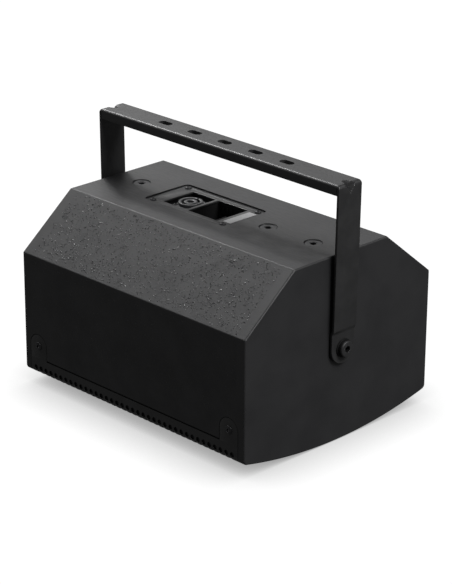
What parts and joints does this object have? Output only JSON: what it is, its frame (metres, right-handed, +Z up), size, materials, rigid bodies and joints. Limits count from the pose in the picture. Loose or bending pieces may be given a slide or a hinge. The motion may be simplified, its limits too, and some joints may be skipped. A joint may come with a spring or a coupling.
{
  "type": "stage monitor wedge",
  "caption": "Compact coaxial stage monitor with a bevelled plywood cabinet, curved perforated grille, rear connector plate and a U-shaped steel bracket hinged on its end cheeks.",
  "frame": {"origin": "on the floor under the middle of the cabinet, which lies face down on its curved grille", "axes": "+X along the cabinet from the left end cheek to the right one, +Y from the front wall to the rear wall, +Z up through the bracket's crossbar"},
  "size_m": [0.349, 0.271, 0.2774],
  "materials": {
    "cabinet_paint": "plywood under black textured cabinet paint: fine satin skin with raised droplets",
    "raw_plywood": "unpainted birch plywood",
    "powder_coat": "fine black powder coat, satin",
    "black_steel": "black-plated steel fasteners, satin",
    "zinc_steel": "clear zinc plated steel",
    "cast_alloy": "die-cast alloy, bead blasted",
    "black_plastic": "moulded black plastic, fine eroded surface",
    "label_film": "blank silver-grey label film",
    "foam": "black open-cell acoustic foam",
    "rubber": "black rubber, matt",
    "paper_cone": "doped black paper pulp",
    "spider_cloth": "resin-stiffened woven cloth",
    "copper_wire": "enamelled copper winding",
    "ferrite": "sintered ferrite, matt dark grey",
    "treble_dome": "thin spun metal dome",
    "circuit_board": "green circuit board",
    "resistor_body": "white ceramic power resistor",
    "cable_sheath": "flexible cable sheath"
  },
  "bodies": {
    "cabinet": {"back_panel": "cabinet_paint", "front_bevel_panel": "cabinet_paint", "rear_bevel_panel": "cabinet_paint", "front_wall_panel": "cabinet_paint", "rear_wall_panel": "cabinet_paint", "left_end_cheek": "cabinet_paint", "right_end_cheek": "cabinet_paint", "baffle_board": "raw_plywood", "front_grille": "powder_coat", "connector_plate": "powder_coat", "grille_screw_front_left": "black_steel", "grille_screw_front_right": "black_steel", "grille_screw_rear_left": "black_steel", "grille_screw_rear_right": "black_steel", "insert_plug_1": "black_steel", "insert_plug_2": "black_steel", "insert_plug_3": "black_steel", "plate_screw_1": "black_steel", "plate_screw_2": "black_steel", "plate_screw_3": "black_steel", "plate_screw_4": "black_steel", "pivot_bolt_left": "black_steel", "pivot_bolt_right": "black_steel", "steel_washer_left": "black_steel", "steel_washer_right": "black_steel", "hf_driver_housing": "black_steel", "panel_insert_1": "zinc_steel", "panel_insert_2": "zinc_steel", "panel_insert_3": "zinc_steel", "pivot_insert_left": "zinc_steel", "pivot_insert_right": "zinc_steel", "motor_front_plate": "zinc_steel", "back_plate_with_pole": "zinc_steel", "woofer_basket": "cast_alloy", "left_port_duct": "black_plastic", "right_port_duct": "black_plastic", "connector_dish": "black_plastic", "input_connector_shell": "black_plastic", "input_connector_core": "black_plastic", "link_terminal_block": "black_plastic", "hf_horn": "black_plastic", "label_strip": "label_film", "grille_foam": "foam", "plate_gasket": "rubber", "friction_washer_left": "rubber", "friction_washer_right": "rubber", "woofer_surround": "rubber", "filter_capacitor": "rubber", "woofer_spider": "spider_cloth", "inductor_coil": "copper_wire", "magnet_ring": "ferrite", "crossover_board": "circuit_board", "power_resistor": "resistor_body", "input_lead": "cable_sheath", "woofer_lead": "cable_sheath", "hf_lead": "cable_sheath"},
    "yoke": {"yoke_bracket": "powder_coat"},
    "cone": {"woofer_cone": "paper_cone", "voice_coil": "copper_wire"},
    "treble_diaphragm": {"hf_diaphragm": "treble_dome"}
  },
  "joints": [
    {"name": "yoke_tilt", "type": "hinge", "parent": "cabinet", "child": "yoke", "pos_m": [0, 0, 0.1028], "axis": [1, 0, 0], "continuous": true},
    {"name": "woofer_travel", "type": "slide", "parent": "cabinet", "child": "cone", "axis": [0, 0, 1], "range_m": [-0.004, 0.004], "stiffness_N_per_m": 2500, "deforming": ["woofer_surround", "woofer_spider"]},
    {"name": "treble_travel", "type": "slide", "parent": "cabinet", "child": "treble_diaphragm", "axis": [0, 0, 1], "range_m": [-0.0003, 0.0003], "stiffness_N_per_m": 4000}
  ]
}
